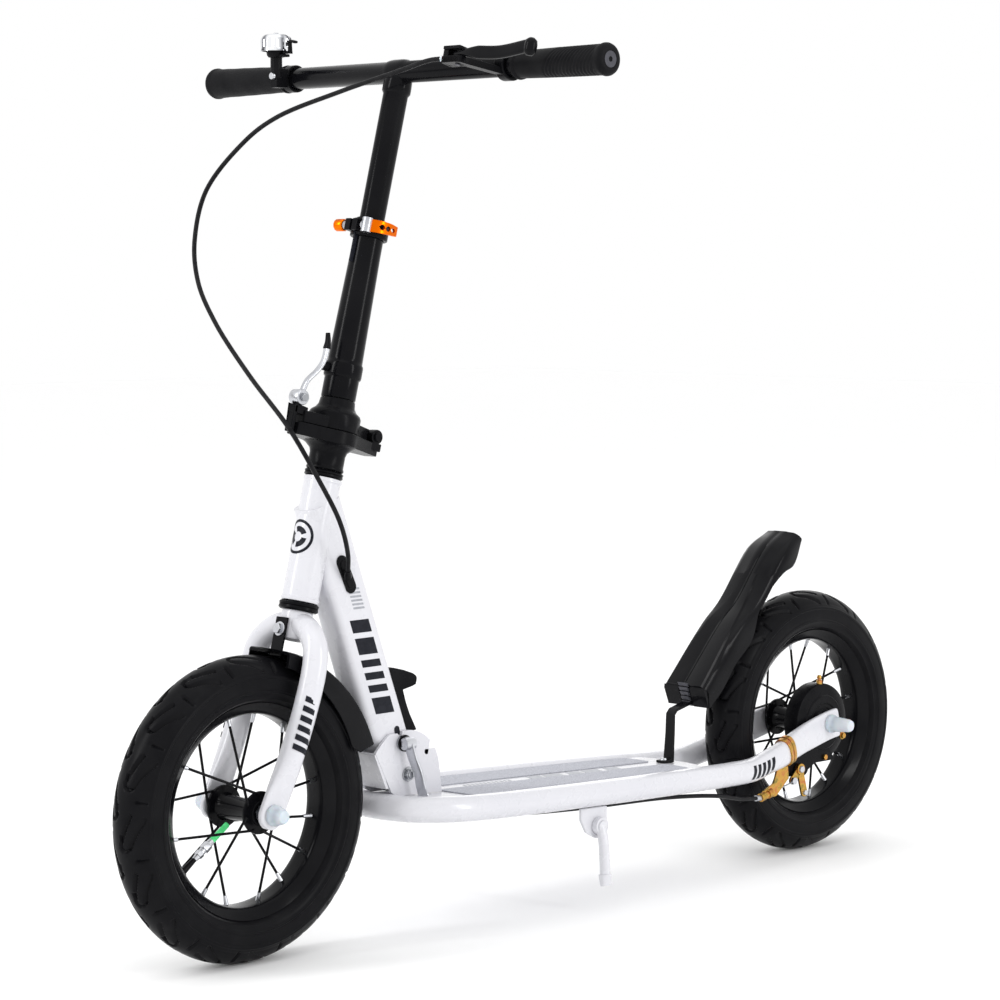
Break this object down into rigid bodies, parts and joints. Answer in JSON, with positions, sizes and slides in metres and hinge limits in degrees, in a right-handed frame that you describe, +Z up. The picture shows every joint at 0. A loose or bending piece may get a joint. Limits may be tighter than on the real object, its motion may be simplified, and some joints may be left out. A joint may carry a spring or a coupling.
{
  "type": "kick scooter",
  "caption": "Folding kick scooter with large air tyres, a low tubular deck, a height-adjustable T handlebar, mudguards, a bell, a kickstand and a lever-operated rear band brake.",
  "frame": {"origin": "on the ground, midway between the two wheel axles, on the centre plane", "axes": "+X forward, +Y to the rider's left, +Z up"},
  "size_m": [1.153, 0.583, 0.922],
  "materials": {
    "white_paint": "glossy white powder coat",
    "black_paint": "glossy black paint",
    "black_plastic": "black moulded plastic with a soft sheen",
    "cable_housing": "black cable housing",
    "tyre_rubber": "black tyre rubber",
    "grip_rubber": "matte black rubber",
    "deck_tape": "grey gritty grip tape",
    "steel": "bright zinc-plated steel",
    "chrome": "polished chrome",
    "gold_zinc": "yellow passivated steel",
    "orange_alloy": "orange anodised alloy",
    "clear_plastic": "milky clear plastic"
  },
  "bodies": {
    "deck": {"deck_rail_left": "white_paint", "deck_rail_right": "white_paint", "deck_plate": "white_paint", "deck_grip_left": "deck_tape", "deck_grip_right": "deck_tape", "hinge_bracket": "white_paint", "hinge_pivot_bolt": "steel", "kickstand_bracket": "white_paint", "rear_axle": "steel", "rear_axle_cap_left": "clear_plastic", "rear_axle_cap_right": "clear_plastic", "brake_cover": "black_plastic", "brake_band": "steel", "brake_stay_clamp": "gold_zinc", "brake_cable_anchor": "gold_zinc", "rear_mudguard": "black_plastic", "rear_mudguard_strut": "black_plastic", "brake_cable_lower": "cable_housing"},
    "kickstand": {"kickstand_leg": "white_paint"},
    "brake_arm": {"brake_arm": "gold_zinc"},
    "rear_wheel": {"rear_tyre": "tyre_rubber", "rear_rim": "black_paint", "rear_hub": "black_paint", "rear_brake_drum": "black_paint", "rear_bearing_right": "steel", "rear_bearing_left": "steel"},
    "front_frame": {"front_frame": "white_paint", "headset_lower": "black_plastic", "headset_upper": "black_plastic", "cable_grommet": "black_plastic"},
    "fold_release": {"fold_release": "black_plastic", "fold_axle": "steel"},
    "fold_cam": {"fold_cam_lever": "steel"},
    "fork": {"fork": "white_paint", "stem_clamp_lower": "black_plastic", "stem_hinge_pin": "steel", "front_mudguard": "black_plastic", "front_axle": "steel", "front_axle_cap_left": "clear_plastic", "front_axle_cap_right": "clear_plastic"},
    "front_wheel": {"front_tyre": "tyre_rubber", "front_rim": "black_paint", "front_hub": "black_paint", "front_bearing_right": "steel", "front_bearing_left": "steel"},
    "stem": {"stem_clamp_upper": "black_plastic", "outer_post": "black_paint", "height_clamp": "black_paint"},
    "stem_latch": {"stem_latch_lever": "steel"},
    "height_lever": {"height_lever": "orange_alloy"},
    "handlebar": {"handlebar": "black_paint", "grip_left": "grip_rubber", "grip_right": "grip_rubber", "brake_lever_perch": "black_plastic", "bell_base": "black_plastic", "bell_dome": "chrome", "brake_cable_upper": "cable_housing"},
    "brake_lever": {"brake_lever": "black_plastic"},
    "bell_lever": {"bell_thumb_lever": "black_plastic"}
  },
  "joints": [
    {"name": "deck_fold", "type": "hinge", "parent": "deck", "child": "front_frame", "pos_m": [0.2225, 0, 0.165], "axis": [0, 1, 0], "range_deg": [-65, 0]},
    {"name": "fold_release_pull", "type": "slide", "parent": "front_frame", "child": "fold_release", "axis": [0.2099, 0, 0.9777], "range_m": [0, 0.012], "stiffness_N_per_m": 600, "springref_m": -0.01},
    {"name": "fold_cam_swing", "type": "hinge", "parent": "fold_release", "child": "fold_cam", "pos_m": [0.23, 0.031, 0.198], "axis": [1, 0, 0], "range_deg": [0, 110]},
    {"name": "steering", "type": "hinge", "parent": "front_frame", "child": "fork", "pos_m": [0.33348, 0, 0.40635], "axis": [-0.2529, 0, 0.9675], "range_deg": [-45, 45], "deforming": ["brake_cable_upper"]},
    {"name": "front_wheel_spin", "type": "hinge", "parent": "fork", "child": "front_wheel", "pos_m": [0.425, 0, 0.1515], "axis": [0, 1, 0], "continuous": true},
    {"name": "rear_wheel_spin", "type": "hinge", "parent": "deck", "child": "rear_wheel", "pos_m": [-0.425, 0, 0.1515], "axis": [0, 1, 0], "continuous": true},
    {"name": "stem_fold", "type": "hinge", "parent": "fork", "child": "stem", "pos_m": [0.25475, 0, 0.5098], "axis": [0, -1, 0], "range_deg": [0, 100], "deforming": ["brake_cable_upper"]},
    {"name": "stem_latch", "type": "hinge", "parent": "stem", "child": "stem_latch", "pos_m": [0.34792, 0, 0.55276], "axis": [0, 1, 0], "range_deg": [0, 120]},
    {"name": "handlebar_height", "type": "slide", "parent": "stem", "child": "handlebar", "axis": [-0.2529, 0, 0.9675], "range_m": [-0.075, 0.06], "deforming": ["brake_cable_upper"]},
    {"name": "height_lever", "type": "hinge", "parent": "stem", "child": "height_lever", "pos_m": [0.27309, 0.018, 0.72235], "axis": [0.2529, 0, -0.9675], "range_deg": [0, 150]},
    {"name": "brake_lever", "type": "hinge", "parent": "handlebar", "child": "brake_lever", "pos_m": [0.25557, 0.133, 0.88624], "axis": [-0.2529, 0, 0.9675], "range_deg": [0, 15], "stiffness_Nm_per_rad": 1.5, "springref_deg": -5.73},
    {"name": "brake_arm", "type": "hinge", "parent": "deck", "child": "brake_arm", "pos_m": [-0.377, 0.042, 0.103], "axis": [0, -1, 0], "range_deg": [0, 15]},
    {"name": "bell_thumb", "type": "hinge", "parent": "handlebar", "child": "bell_lever", "pos_m": [0.2348, -0.1475, 0.901], "axis": [0, 0, 1], "range_deg": [0, 25], "stiffness_Nm_per_rad": 0.05, "springref_deg": -11.46},
    {"name": "kickstand_swing", "type": "hinge", "parent": "deck", "child": "kickstand", "pos_m": [-0.003, 0.078, 0.09], "axis": [0, 1, 0], "range_deg": [0, 92]}
  ],
  "couplings": [
    {"joint": "brake_arm", "follows": "brake_lever", "ratio": 1}
  ]
}
